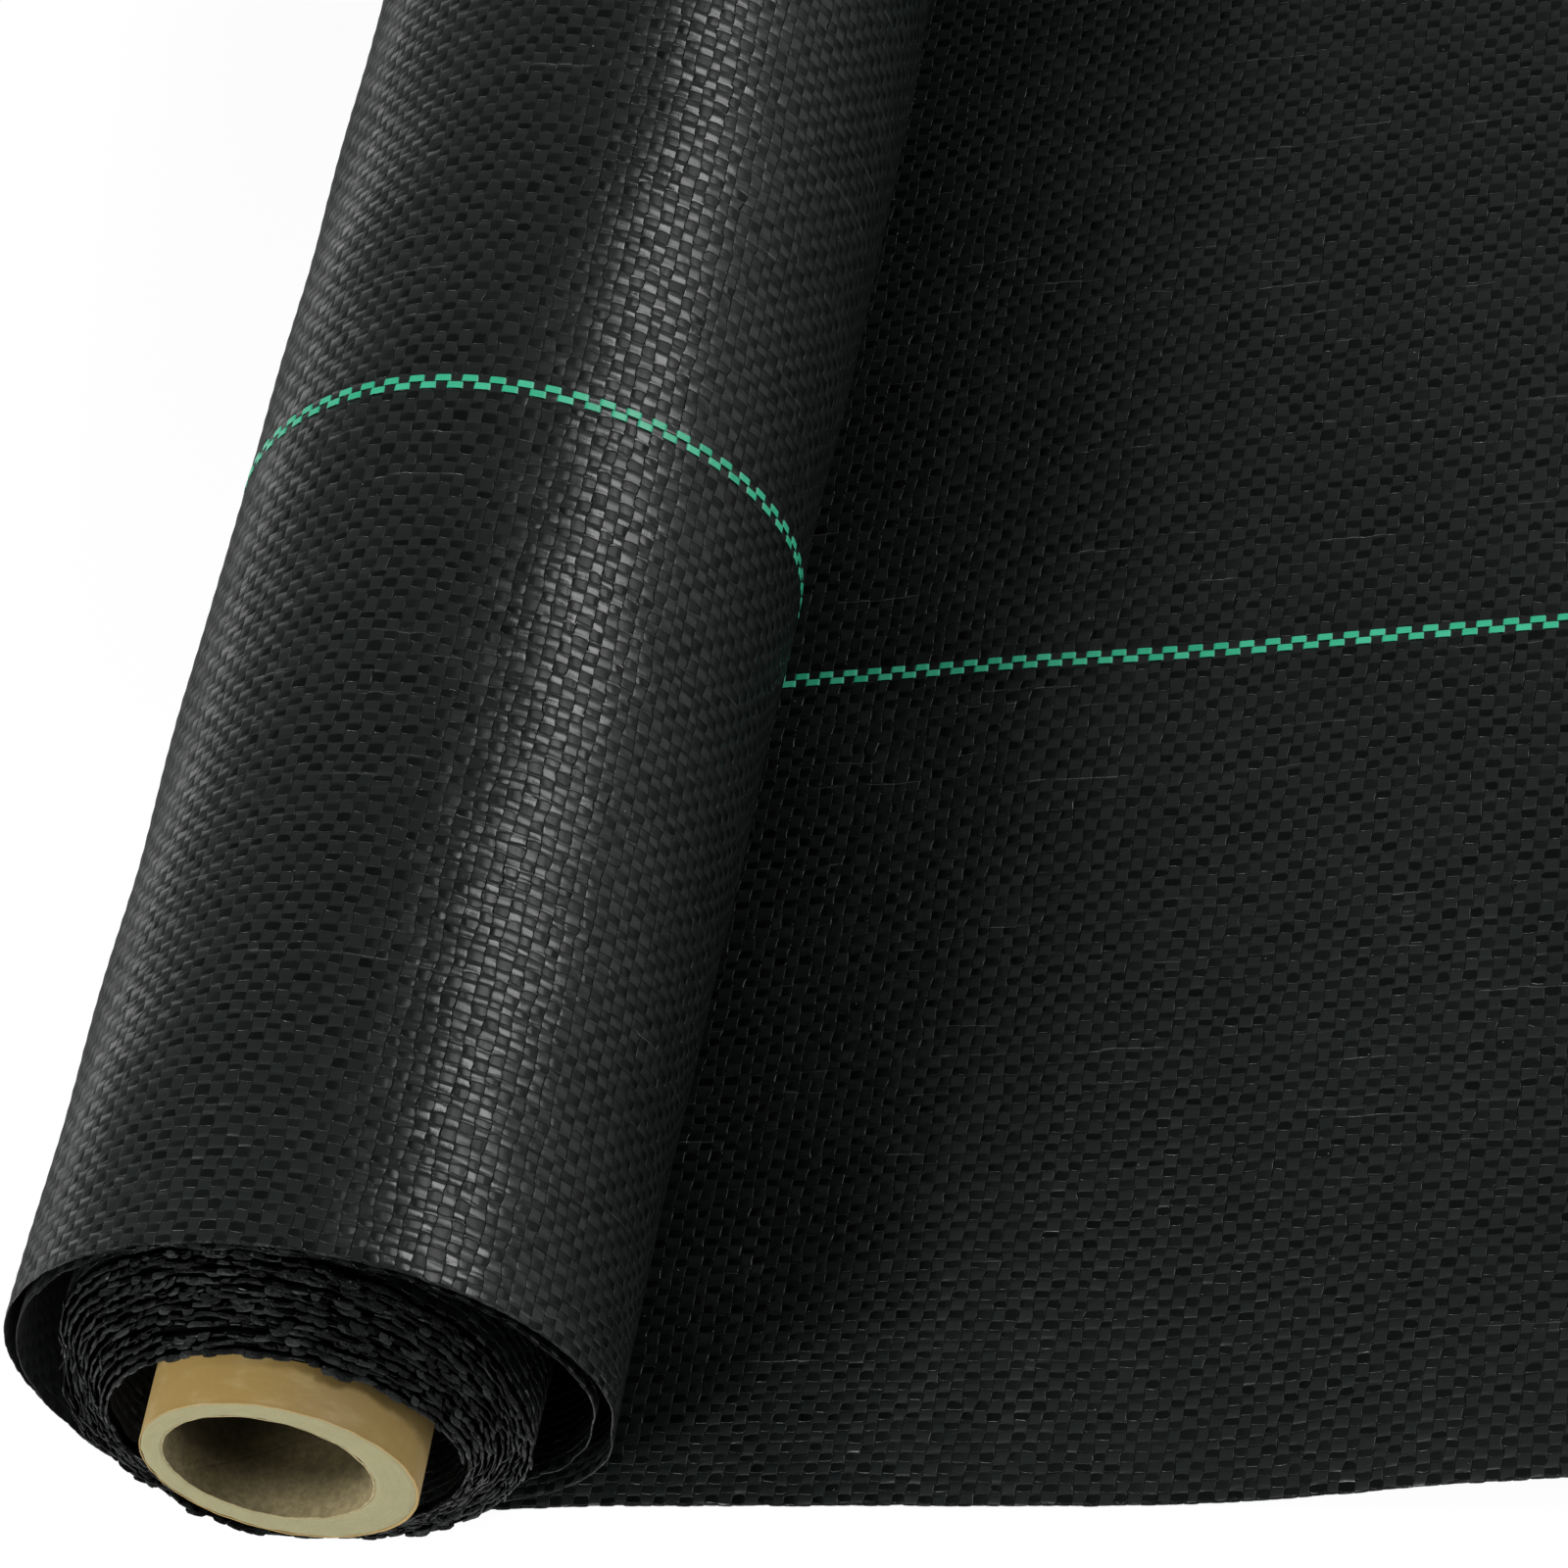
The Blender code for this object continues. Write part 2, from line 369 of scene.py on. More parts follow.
def swell(u, v, seed, shortest, longest, count=6):
    draw = np.random.default_rng(seed)
    total = 0
    for _ in range(count):
        length = draw.uniform(shortest, longest)
        turn = draw.uniform(0, math.pi)
        start = draw.uniform(0, 2 * math.pi)
        total = total + np.sin(2 * math.pi * (u * math.cos(turn) + v * math.sin(turn)) / length + start)
    return total / math.sqrt(count)


def hump(value, start, full, fading, end):
    return smooth(value, start, full) * (1 - smooth(value, fading, end))


# Pairs and fours say where a form of the edge comes and goes: in turns, in parts of a turn for
# those called Part, and in metres for those called X or V
edges = {
    "cone": 14.3 * mm,
    "conePower": 1.15,
    "flush": 10.5 * mm,
    "flushPart": (0.17, 0.25, 0.72, 0.80),
    "flushEndTurns": (11.34, 11.52),
    "flushRightLess": 4.5 * mm,
    "flushRightPart": (0.42, 0.62),
    "footSetBack": 10.5 * mm,
    "innerFootTurns": (11.46, 11.56, 11.62, 11.74),
    "outerFootTurns": (12.36, 12.52, 12.60, 12.76),
    "tailDrift": 9.8 * mm,
    "tailTurns": (13.10, 13.58),
    "sheetReturn": 3.5 * mm,
    "returnX": (30 * mm, 180 * mm),
    "skew": 3.6 * mm,
    "skewV": (280 * mm, 480 * mm),
    "fade": 160 * mm,
}


def edgeShift(turns, x, v):
    # How far the near edge lies toward the far end, turn by turn, with what fades away from that edge
    e = edges
    tight = winding["tightTurns"]
    part = turns - np.floor(turns)
    cone = -e["cone"] * np.clip(1 - turns / tight, 0, 2) ** e["conePower"]
    low = hump(part, *e["flushPart"]) * (1 - smooth(turns, *e["flushEndTurns"]))
    level = -e["flush"] + e["flushRightLess"] * smooth(part, *e["flushRightPart"])
    flush = (np.minimum(cone, level) - cone) * low
    foot = hump(turns, *e["innerFootTurns"]) + hump(turns, *e["outerFootTurns"])
    tail = smooth(turns, *e["tailTurns"])
    near = flush + e["footSetBack"] * foot
    slant = e["tailDrift"] - e["sheetReturn"] * smooth(x, *e["returnX"])
    skew = e["skew"] * smooth(v, *e["skewV"])
    return cone + tail * (slant + skew) + near * np.exp(-v / e["fade"])


unevenness = {
    "looseTurns": (12.0, 12.6),
    "flatFade": 20 * mm,
    "turnSwell": 0.38 * mm,
    "turnWaves": (50 * mm, 170 * mm),
    "packSwell": 0.08 * mm,
    "packWaves": (20 * mm, 80 * mm),
    "packEdge": 0.50 * mm,
    "looseEdge": 0.15 * mm,
    "edgeWaves": (14 * mm, 70 * mm),
    "edgeReach": 7 * mm,
    "weftJag": 0.12 * mm,
    "sheetLift": 1.1 * mm,
    "sheetLiftX": (55 * mm, 125 * mm),
    "sheetWaves": (60 * mm, 220 * mm),
    "sheetWaveShare": 0.6,
    "cornerLift": 9 * mm,
    "cornerX": (185 * mm, 300 * mm),
    "cornerReach": 110 * mm,
    "crownSpread": 0.6,
    "crownTable": (997, 331),
    "looseTuck": 5.4 * mm,
    "looseTuckTurns": (11.5, 11.6, 12.9, 13),
    "looseTuckMiddle": 0.675,
    "looseTuckSpread": 0.055,
    "looseTuckReach": 400 * mm,
    "packTuck": 4.4 * mm,
    "packTuckEndTurns": (11.0, 11.3),
    "packTuckPart": (0.50, 0.66, 0.78, 0.95),
    "packTuckFade": 150 * mm,
    "packTuckTurns": 30,
    "leftFlare": 1.1 * mm,
    "leftFlareTurns": (12.9, 13.1, 13.25, 13.4),
}


def tuck(turns, v):
    # The loose turns are drawn in at the lower right and stand out at the left, most at the near end
    n = unevenness
    part = turns - np.floor(turns)
    taper = np.clip(1 - v / n["looseTuckReach"], 0, 1)
    loose = hump(turns, *n["looseTuckTurns"])
    loose = loose * np.exp(-((part - n["looseTuckMiddle"]) / n["looseTuckSpread"]) ** 2)
    pack = (1 - smooth(turns, *n["packTuckEndTurns"])) * (1 - turns / n["packTuckTurns"])
    pack = pack * np.exp(-v / n["packTuckFade"]) * hump(part, *n["packTuckPart"])
    left = hump(turns, *n["leftFlareTurns"])
    return n["leftFlare"] * left * taper - n["looseTuck"] * loose * taper - n["packTuck"] * pack


def clothPoints(u, v, side):
    # Points at u along the cloth and v across it; side 1 is its outer face on the roll, 0 its middle
    n = unevenness
    x, z = np.interp(u, lineWay, lineX), np.interp(u, lineWay, lineZ)
    slopeX, slopeZ = np.interp(u, lineWay, lineSlopeX), np.interp(u, lineWay, lineSlopeZ)
    size = np.hypot(slopeX, slopeZ)
    turns = np.interp(u, lineWay, lineTurns)
    loose = smooth(turns, *n["looseTurns"])
    flat = smooth(u, tailStart - n["flatFade"], tailStart)
    fromEdge = np.minimum(v, cloth["width"] - v)
    bulge = (1 - flat) * (loose * n["turnSwell"] * swell(u, v, 3, *n["turnWaves"])
                          + (1 - loose) * n["packSwell"] * swell(u, 0 * v, 4, *n["packWaves"]))
    weft, warp = u / weftPitch, warpCount(v)
    over = np.sin(math.pi * weft) * np.sin(math.pi * warp) * side
    spread = n["crownSpread"] / 2
    tall, wide = n["crownTable"]
    sizes = np.random.default_rng(6).uniform(1 - spread, 1 + spread, (tall, wide))
    crown = cloth["weftCrown"] * np.maximum(over, 0) + cloth["warpCrown"] * np.maximum(-over, 0)
    crown = crown * sizes[weft.astype(int) % tall, warp.astype(int) % wide]
    offset = bulge + tuck(turns, v) + side * (cloth["thickness"] / 2 + crown)
    lift = n["sheetLift"] * smooth(x, *n["sheetLiftX"])
    lift = np.maximum(lift * (1 + swell(x, v, 8, *n["sheetWaves"]) * n["sheetWaveShare"]), 0)
    lift = lift + n["cornerLift"] * smooth(x, *n["cornerX"]) * (1 - smooth(v, 0, n["cornerReach"]))
    wander = loose * n["looseEdge"] + (1 - loose) * n["packEdge"]
    wander = wander * swell(u, (v > cloth["width"] / 2) * 1.0, 11, *n["edgeWaves"])
    jag = np.random.default_rng(5).normal(0, n["weftJag"], int(clothEnd / weftPitch) + 4)
    wander = wander + jag[np.clip(weft.astype(int), 0, len(jag) - 1)]
    wander = wander * np.exp(-fromEdge / n["edgeReach"]) * (1 - flat * 0.5)
    y = edgeY + v + edgeShift(turns, x, v) + wander
    return np.stack([axisX + x + slopeZ / size * offset, y, z - slopeX / size * offset + lift], axis=-1)


def meshObject(name, points, faces, uvs, material, sharpAngle=None):
    # faces is an array with four corners a row; uvs holds one pair for each corner of each face
    mesh = bpy.data.meshes.new(name)
    mesh.vertices.add(len(points))
    mesh.vertices.foreach_set("co", points.astype(np.float32).ravel())
    corners = faces.shape[1]
    mesh.loops.add(faces.size)
    mesh.loops.foreach_set("vertex_index", faces.astype(np.int32).ravel())
    mesh.polygons.add(len(faces))
    mesh.polygons.foreach_set("loop_start", np.arange(0, faces.size, corners, dtype=np.int32))
    mesh.update(calc_edges=True)
    if uvs is not None:
        layer = mesh.uv_layers.new(name="weave")
        layer.data.foreach_set("uv", uvs.astype(np.float32).ravel())
    mesh.shade_smooth()
    if sharpAngle:
        mesh.set_sharp_from_angle(angle=math.radians(sharpAngle))
    mesh.materials.append(material)
    thing = bpy.data.objects.new(name, mesh)
    bpy.context.collection.objects.link(thing)
    return thing


def gridFaces(rows, columns, start=0):
    index = start + np.arange(rows * columns).reshape(rows, columns)
    corners = [index[:-1, :-1], index[:-1, 1:], index[1:, 1:], index[1:, :-1]]
    return np.stack(corners, axis=-1).reshape(-1, 4)


def tubeFaces(rings, corners):
    # Point numbers ring by ring, and the faces between one closed ring and the next
    index = np.arange(rings * corners).reshape(rings, corners)
    following = np.roll(index, -1, axis=1)
    faces = np.stack([index[:-1], following[:-1], following[1:], index[1:]], axis=-1).reshape(-1, 4)
    return index, faces


def joined(name, points, faces, uvs, material, sharpAngle):
    uvs = np.concatenate(uvs) if uvs else None
    return meshObject(name, np.concatenate(points), np.concatenate(faces), uvs, material, sharpAngle)


def clothShell(name, rows, columns, material):
    u, v = np.meshgrid(rows, columns, indexing="ij")
    points = np.concatenate([clothPoints(u, v, side).reshape(-1, 3) for side in (1, -1)])
    rowCount, columnCount = u.shape
    total = rowCount * columnCount
    index = np.arange(total).reshape(rowCount, columnCount)
    outerFaces = gridFaces(rowCount, columnCount)
    innerFaces = gridFaces(rowCount, columnCount, total)[:, ::-1]
    border = np.concatenate([index[0, :-1], index[:-1, -1], index[-1, :0:-1], index[:0:-1, 0]])
    follower = np.roll(border, -1)
    rim = np.stack([border, border + total, follower + total, follower], axis=-1)
    faces = np.concatenate([outerFaces, innerFaces, rim])
    # The inner face shows the other half of the weave, so its count is one weft on
    flat = np.stack([u.ravel() / weftPitch, warpCount(v.ravel())], axis=-1)
    uvs = np.concatenate([flat, flat + [1, 0]])[faces]
    uvs[-len(rim):] = flat[np.stack([border, border, follower, follower], axis=-1)]
    return meshObject(name, points, faces, uvs, material, 50)


def cellRows(start, end):
    centres = (np.arange(int(start / weftPitch) + 1, int(end / weftPitch)) + 0.5) * weftPitch
    return np.concatenate([[start], centres[(centres > start) & (centres < end)], [end]])


def cellColumns():
    return np.concatenate([[0], warpCentres, [cloth["width"]]])


def packColumns():
    # The inner turns show only at their edges, so they have few columns between
    near, width = warpCentres[[0, 2, 5, 11, 22, 40]], cloth["width"]
    return np.concatenate([[0], near, [width / 2], width - near[::-1], [width]])


fabricLook = {
    "warpTape": (0.0006, 0.0008, 0.0009),
    "weftTape": (0.0040, 0.0051, 0.0049),
    "worn": (0.0073, 0.0089, 0.0086),
    # The near-black colour below is painted shade for the gaps between tapes and for the buried edges
    # of the pack
    "gap": (0.0004, 0.0005, 0.0005),
    # The speck colour also paints the highlights along tape edges and round warp floats
    "speck": (0.16, 0.17, 0.165),
    "speckShare": 0.004,
    "warpRoughness": 0.38,
    "weftRoughness": 0.31,
    "gapRoughness": 0.8,
    "specular": 0.36,
    "weftRise": 0.27,
    "weftGap": 0.25,
    "warpRise": 0.15,
    "warpRound": 0.05,
    "warpShare": 0.78,
    "tilt": 0.40,
    "fibre": 0.020,
    "wobble": 0.85,
    "flankX": (-64 * mm, -36 * mm),
    "flankRoughness": 0.62,
    "flankCalm": 0.7,
    "buriedTurns": 11.4,
    "buriedShade": 0.95,
    "buriedRoughness": 0.25,
    "warpDull": 0.42,
    "gapDull": 0.9,
    # Strength and share of the painted highlights round the warp floats
    "paintedEdgeGlint": 0.15,
    "paintedEdgeGlintShare": 0.55,
}


def weaveMaterial():
    p = Paint("wovenTape")
    look = fabricLook
    packTurnsEnd = wayAtTurn(look["buriedTurns"]) / weftPitch
    x, y = p.parts(p.add("UVMap", {"uv_map": "weave"}))[:2]
    along = x + (p.noise(p.vector(x * 0.9, y * 0.25)) - 0.5) * look["wobble"]
    across = y + (p.noise(p.vector(x * 0.25, y * 0.9, 7.3)) - 0.5) * look["wobble"]
    weft, warp = along.whole(), across.whole()
    a, b = along.part() - 0.5, across.part() - 0.5
    warpUp = (weft + warp).math("MODULO", 2)
    a2, b2 = abs(a) * 2, abs(b) * 2
    r1, r2, r3 = p.draw(weft, warp)
    # Heights are in millimetres; a warp float is a lozenge between the two wefts that it crosses
    share = look["warpShare"] + (r3 - 0.5) * 0.26
    weftArch = (b * math.pi).math("COSINE") * look["weftRise"]
    weftEdge = a2.ramp(0.88, 0.98)
    weftTop = weftArch - (a2 ** 4) * 0.05 - weftEdge * look["weftGap"]
    lozenge = (b2 / share) ** 3 + (a2 * 0.96) ** 5
    inWarp = lozenge.ramp(0.8, 1.2, 1, 0)
    warpTop = (a * math.pi).math("COSINE") * look["warpRise"] - ((b2 / share) ** 2) * look["warpRound"]
    height = weftTop.mixed((weftArch * -1).mixed(warpTop, inWarp), warpUp)
    slope = (a * (r1 - 0.5) + b * (r2 - 0.5)) * look["tilt"]
    isWarp = warpUp * inWarp
    fibre = p.noise(p.vector(x * 14, y * 0.5, 3.0)).mixed(p.noise(p.vector(x * 0.5, y * 14)), isWarp)
    # The flank away from the light is pressed flat and a little dusty
    flankLeft, flankRight = (axisX + limit for limit in look["flankX"])
    left = p.parts(p.add("TexCoord", None, (), 3))[0].ramp(flankLeft, flankRight, 1, 0)
    height = (height + slope + fibre * look["fibre"]) * (1 - left * look["flankCalm"])
    tapeShade = p.draw(weft, 0.0)[0].mixed(p.draw(warp, 900.0)[1], isWarp)
    cloud = p.noise(p.vector(x * 0.05, y * 0.035, 1.0), 1.0, 3.0)
    wear = cloud.ramp(0.35, 0.75) * 0.35 + tapeShade * 0.35 + fibre.ramp(0.45, 0.8) * 0.35
    colour = p.blendColour(isWarp, look["weftTape"], look["warpTape"])
    colour = p.blendColour(wear * (1 - isWarp * 0.6), colour, look["worn"])
    # Thin pale lines painted as highlights where single tape edges stand up
    raised = p.draw(warp, 300.0)[2].above(0.80)
    raised = raised * p.noise(p.vector(x * 0.11, y * 1.3, 9.0)).ramp(0.60, 0.68)
    paintedRimGlint = (b2 - share).math("ABSOLUTE").ramp(0.03, 0.10, 1, 0) * raised
    # Painted shade: the gaps between neighbouring wefts and the ditch round each warp float are
    # darkened towards near black
    ditch = lozenge.ramp(0.9, 1.15) * lozenge.ramp(1.2, 1.9, 1, 0) * warpUp * 0.6
    shadedGaps = (weftEdge * (1 - warpUp)).math("MAXIMUM", ditch)
    # Between the turns of the pack hardly any light reaches the cloth at its two edges
    buried = x.ramp(packTurnsEnd - 3, packTurnsEnd, 1, 0)
    fromEdge = y.math("MINIMUM", len(warpCentres) - y)
    buried = buried * fromEdge.ramp(0.5, 1.6, look["buriedShade"], 0)
    # Painted highlights: pale outlines round a share of the warp floats, where their edges catch light
    paintedEdgeGlint = abs(lozenge - 0.95).ramp(0.06, 0.30, 1, 0) * warpUp * r1.above(1 - look["paintedEdgeGlintShare"])
    paintedEdgeGlint = paintedEdgeGlint * p.noise(p.vector(x * 1.7, y * 1.7, 5.0)).ramp(0.42, 0.58)
    # The gaps and the buried edges of the pack turns take the painted shade colour
    colour = p.blendColour(shadedGaps.math("MAXIMUM", buried), colour, look["gap"])
    # Painted highlight along the raised tape edges
    colour = p.blendColour(paintedRimGlint * 0.35, colour, look["speck"])
    colour = p.blendColour(paintedEdgeGlint * r2 * look["paintedEdgeGlint"], colour, look["speck"])
    speck = p.specks(p.vector(x * 2.1, y * 1.9, 0.5), look["speckShare"], 0.16)
    colour = p.blendColour(speck, colour, look["speck"])
    rough = (isWarp * (look["warpRoughness"] - look["weftRoughness"])) + look["weftRoughness"]
    rough = rough + left * look["flankRoughness"]
    rough = rough + (tapeShade - 0.5) * 0.10 + (r3 - 0.5) * 0.12 + (cloud - 0.5) * 0.10
    rough = rough.mixed(look["gapRoughness"], shadedGaps).mixed(look["buriedRoughness"], buried)
    # The black tapes and the gaps give back less light, which a share of dark metal brings
    dull = isWarp * (look["warpDull"] + (r2 - 0.5) * 0.4) * (1 - left * 0.6)
    dull = dull.math("MAXIMUM", shadedGaps.math("MAXIMUM", buried) * look["gapDull"])
    return p.set(colour=colour, roughness=rough, metallic=dull, normal=p.bump(height, 1 * mm),
                 specular=look["specular"])


greenLook = {
    "tape": (0.012, 0.275, 0.145),
    "pale": (0.060, 0.42, 0.255),
    # dark is painted shade for the ends of each float
    "dark": (0.004, 0.085, 0.045),
    "roughness": 0.42,
    "bump": 0.05 * mm,
}


def greenMaterial():
    # The UV map counts floats along each tape, with the middle of a float at a half
    p = Paint("greenTape")
    x, y = p.parts(p.add("UVMap", {"uv_map": "weave"}))[:2]
    shade = p.draw(x.whole(), y.whole())[0]
    streak = p.noise(p.vector(x * 1.2, y * 12), 1.0, 3.0, 0.6)
    paleness = shade * 0.5 + streak.ramp(0.35, 0.75) * 0.4
    colour = p.blendColour(paleness, greenLook["tape"], greenLook["pale"])
    fromMiddle = abs(x.part() - 0.5)
    # Painted shade: each float turns darker towards its ends, where it dives under the wefts
    colour = p.blendColour(fromMiddle.ramp(0.24, 0.33) * 0.8, colour, greenLook["dark"])
    rough = greenLook["roughness"] + (streak - 0.5) * 0.25
    return p.set(colour=colour, roughness=rough, normal=p.bump(streak, greenLook["bump"]), specular=0.4)


greenTape = {
    "halfWidth": 0.99 * mm,
    "thickness": 0.07 * mm,
    "level": 0.27 * mm,
    "above": 0.17 * mm,
    "longer": 0.26,
    "below": 0.50 * mm,
    "sharpness": 2.4,
    "lowest": 0.03 * mm,
    "stepsPerFloat": 10,
    "ring": ((-1, -0.5), (0, -0.5), (1, -0.5), (1, 0.5), (0, 0.9), (-1, 0.5)),
}


def greenTapes(name, start, end, face, material):
    # face 1 shows the long floats on the outer face of the roll, and -1 on the other one
    g = greenTape
    rows = np.arange(start, end, weftPitch / g["stepsPerFloat"])
    points, faces, uvs = [], [], []
    corners = len(g["ring"])
    for number in greenNumbers:
        middle = np.full_like(rows, warpCentres[number])
        swing = -np.sin(math.pi * rows / weftPitch) * (-1) ** number * face
        shape = np.clip((swing + g["longer"]) * g["sharpness"], -1, 1)
        rise = (g["level"] + np.where(shape > 0, g["above"], g["below"]) * shape) * face
        centre = clothPoints(rows, middle, 0)
        ahead = clothPoints(rows, middle, 1) - centre
        outward = ahead / np.linalg.norm(ahead, axis=1)[:, None]
        ring = []
        drop = g["thickness"] * face * outward[:, 2]
        for sideways, lift in g["ring"]:
            corner = centre + (rise + lift * g["thickness"] * face)[:, None] * outward
            corner[:, 1] += sideways * g["halfWidth"]
            # Where the floor presses it flat the tape keeps its thickness
            corner[:, 2] = np.maximum(corner[:, 2], g["lowest"] + lift * drop + np.abs(drop))
            ring.append(corner)
        index, quads = tubeFaces(len(rows), corners)
        halves = [[0, 1, 4, 5], [1, 2, 3, 4]]
        caps = [index[0][half][::-1] for half in halves] + [index[-1][half] for half in halves]
        quads = np.concatenate([quads, caps])[:, ::-face]
        acrossCount = number + 0.5 + np.tile([0.45 * sideways for sideways, _ in g["ring"]], len(rows))
        floats = (rows / weftPitch + number) / 2 - 0.25 * face
        flat = np.stack([np.repeat(floats, corners), acrossCount], axis=-1)
        faces.append(quads + len(points) * len(rows) * corners)
        uvs.append(flat[quads])
        points.append(np.stack(ring, axis=1).reshape(-1, 3))
    return joined(name, points, faces, uvs, material, 60)


selvedge = {
    "reach": 0.60 * mm,
    "inset": 1.0 * mm,
    "packHalf": 0.26 * mm,
    "looseHalf": 0.16 * mm,
    "lengthShare": 0.66,
    "wander": 0.45 * mm,
    "shift": 0.21 * mm,
    "tilt": 9,
    "firstTurns": 1.3,
    "looseTurns": (11.2, 11.8),
    "looseCalm": 0.85,
    "lowest": 0.02 * mm,
    "ring": ((-1, 0.6), (0.5, 1.0), (1.0, 0.55), (0.9, -0.5), (0.4, -1.0), (-1, -0.6)),
    "stations": ((-1.0, 0.25), (-0.75, 0.8), (0.0, 1.0), (0.6, 0.9), (1.0, 0.2)),
    "pale": (0.0130, 0.0165, 0.0155),
    "dark": (0.0006, 0.0010, 0.0008),
    "speck": (0.10, 0.105, 0.10),
    "dull": 0.60,
}


def selvedgeMaterial():
    p = Paint("selvedgeLoops")
    here = p.add("TexCoord", None, (), 3)
    lumpShade = p.draw(p.parts(p.add("UVMap", {"uv_map": "weave"}))[0].whole(), 0.0)[0]
    patch = p.noise(here, 150, 2.0, 0.6)
    grain = p.noise(here, 1500, 3.0, 0.7)
    tone = (lumpShade ** 2) * 0.5 + patch.ramp(0.4, 0.65) * 0.35 + grain.ramp(0.4, 0.75) * 0.4
    colour = p.blendColour(tone - 0.15, selvedge["dark"], selvedge["pale"])
    fine = p.add("VectorMath", {"operation": "SCALE"}, {0: here, 3: 520})
    colour = p.blendColour(p.specks(fine, 0.04, 0.3), colour, selvedge["speck"])
    dull = tone.ramp(0.1, 0.9, selvedge["dull"], 0)
    return p.set(colour=colour, roughness=0.28 + patch * 0.20, metallic=dull,
                 normal=p.bump(grain, 0.5 * mm), specular=fabricLook["specular"])


def selvedgeLoops(name, start, end, material):
    # At both edges each weft turns back in a small folded lump
    s = selvedge
    picks = np.arange(math.ceil(start / weftPitch), math.floor(end / weftPitch))
    ring, stations = np.array(s["ring"]), np.array(s["stations"])
    corners, count, amount = len(ring), len(stations), len(picks)
    index, lump = tubeFaces(count, corners)
    halves = [[0, 1, 2, 3], [3, 4, 5, 0]]
    caps = [index[0][half][::-1] for half in halves] + [index[-1][half] for half in halves]
    lump = np.concatenate([lump, caps])
    points, faces, uvs = [], [], []
    for v, outward in ((0.0, -1.0), (cloth["width"], 1.0)):
        draw = np.random.default_rng(40 + int(v))
        u = (picks + 0.5 + draw.uniform(-0.10, 0.10, amount)) * weftPitch
        edge = np.full(amount, v)
        centre = clothPoints(u, edge, 0)
        tangent = clothPoints(u + 0.3 * weftPitch, edge, 0) - clothPoints(u - 0.3 * weftPitch, edge, 0)
        tangent /= np.linalg.norm(tangent, axis=1)[:, None]
        normal = clothPoints(u, edge, 1) - centre
        normal /= np.linalg.norm(normal, axis=1)[:, None]
        aside = np.array([0, outward, 0])
        turns = np.interp(u, lineWay, lineTurns)
        loose = smooth(turns, *s["looseTurns"])
        calm = 1 - s["looseCalm"] * loose
        half = s["packHalf"] * (1 - loose) + s["looseHalf"] * loose
        half = half * (1 + calm * draw.uniform(-0.5, 0.45, amount))
        # The lumps of the first turn keep off the core
        first = turns < s["firstTurns"]
        nudge = draw.normal(0, s["shift"], amount) * calm
        centre = centre + normal * np.where(first, np.abs(nudge), nudge)[:, None]
        reach = np.where(ring[None, :, 0] > 0, s["reach"], s["inset"]) * ring[None, :, 0]
        stray = draw.normal(0, s["wander"], amount) * calm - s["reach"] * 0.5 * loose
        reach = reach + (ring[None, :, 0] > 0) * stray[:, None]
        length = s["lengthShare"] * weftPitch * (1 + calm * draw.uniform(-0.45, 0.30, amount))
        tilt = np.radians(s["tilt"]) * draw.normal(0, 1, amount) * calm * np.where(first, 0.2, 1)
        direction = tangent * np.cos(tilt)[:, None] + normal * np.sin(tilt)[:, None]
        across = normal * np.cos(tilt)[:, None] - tangent * np.sin(tilt)[:, None]
        station = stations[None, :, None, 0] * length[:, None, None]
        size = stations[None, :, None, 1]
        wide = reach[:, None, :] * np.where(ring[None, None, :, 0] > 0, size, 1)
        high = half[:, None, None] * ring[None, None, :, 1] * size
        body = (centre[:, None, None, :] + station[..., None] * direction[:, None, None, :]
                + wide[..., None] * aside + high[..., None] * across[:, None, None, :])
        body[..., 2] = np.maximum(body[..., 2], s["lowest"])
        turned = lump if outward > 0 else lump[:, ::-1]
        offset = sum(len(part) for part in points) + np.arange(amount) * count * corners
        faces.append((turned[None] + offset[:, None, None]).reshape(-1, 4))
        uvs.append(np.repeat(np.stack([picks + 0.5, picks * 0], axis=-1), len(lump) * 4, axis=0))
        points.append(body.reshape(-1, 3))
    return joined(name, points, faces, uvs, material, 35)


cutEnd = {
    "shellShort": 3.2 * mm,
    "halfWidth": 1.1 * mm,
    "thickness": 0.06 * mm,
    "shortest": 0.4 * mm,
    "longest": 3.1 * mm,
    "lowest": 0.03 * mm,
}


def looseWarps(name, end, material):
    # Short warp ends stand out of the cut edge where the last wefts have slipped off
    c = cutEnd
    draw = np.random.default_rng(23)
    points, faces = [], []
    ring = ((-1, -1), (1, -1), (1, 1), (-1, 1))
    for number, v in enumerate(warpCentres):
        length = draw.uniform(c["shortest"], c["longest"])
        bend, side = draw.normal(0, 0.25, 2)
        way = np.array([end - 2 * mm, end - 0.2 * mm, end + 0.5 * length, end + length])
        centre = clothPoints(np.minimum(way, end), np.full(4, v), 0)
        centre[:, 0] += np.maximum(way - end, 0)
        centre[2:, 2] += np.array([0.2, 0.8]) * bend * mm
        centre[2:, 1] += np.array([0.3, 1.0]) * side * mm
        corners = []
        for across, up in ring:
            corner = centre + [0, across * c["halfWidth"], up * c["thickness"] / 2]
            corner[3, 0] += draw.uniform(-0.3, 0) * mm
            corner[:, 2] = np.maximum(corner[:, 2], c["lowest"] + (up > 0) * c["thickness"])
            corners.append(corner)
        index, quads = tubeFaces(4, 4)
        quads = np.concatenate([quads, [index[0][::-1], index[-1]]])
        faces.append(quads + index.size * number)
        points.append(np.stack(corners, axis=1).reshape(-1, 3))
    return joined(name, points, faces, None, material, 40)


